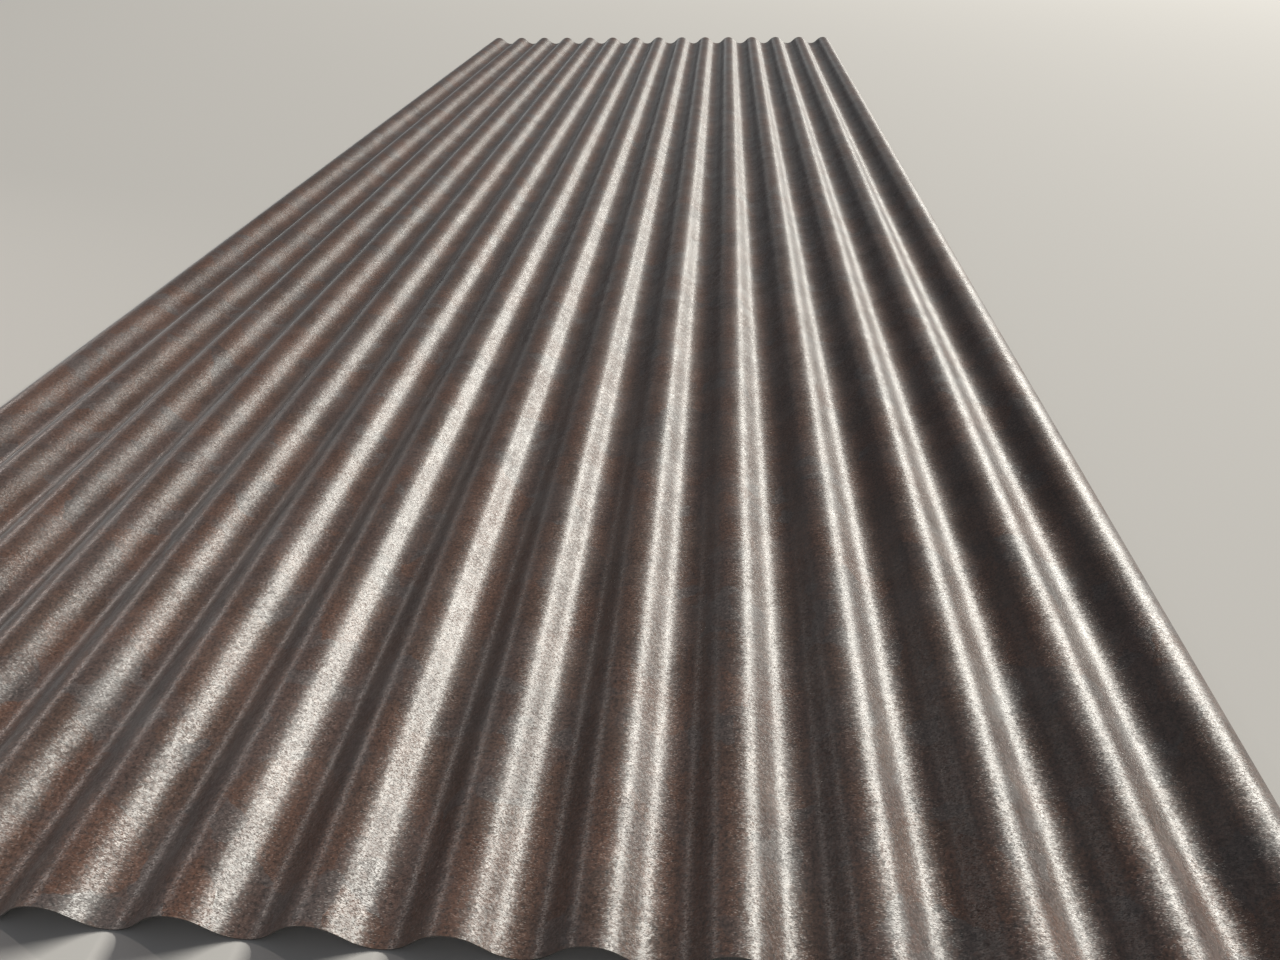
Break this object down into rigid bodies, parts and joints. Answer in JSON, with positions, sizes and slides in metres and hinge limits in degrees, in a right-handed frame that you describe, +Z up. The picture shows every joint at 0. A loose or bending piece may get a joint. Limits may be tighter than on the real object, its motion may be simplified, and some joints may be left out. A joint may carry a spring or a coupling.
{
  "type": "corrugated metal sheet",
  "caption": "Long rectangular steel sheet rolled into even round waves, with a mottled rust-brown coated finish, used as roof and wall cladding.",
  "frame": {"origin": "middle of the sheet seen from above, on the plane that its valleys rest on", "axes": "+Y along the corrugations, +X across them, +Z up out of the side that shows in use"},
  "size_m": [1.1006, 3, 0.0188],
  "materials": {
    "sheet": "satin"
  },
  "bodies": {
    "root": {"corrugated_sheet": "sheet"}
  },
  "joints": []
}
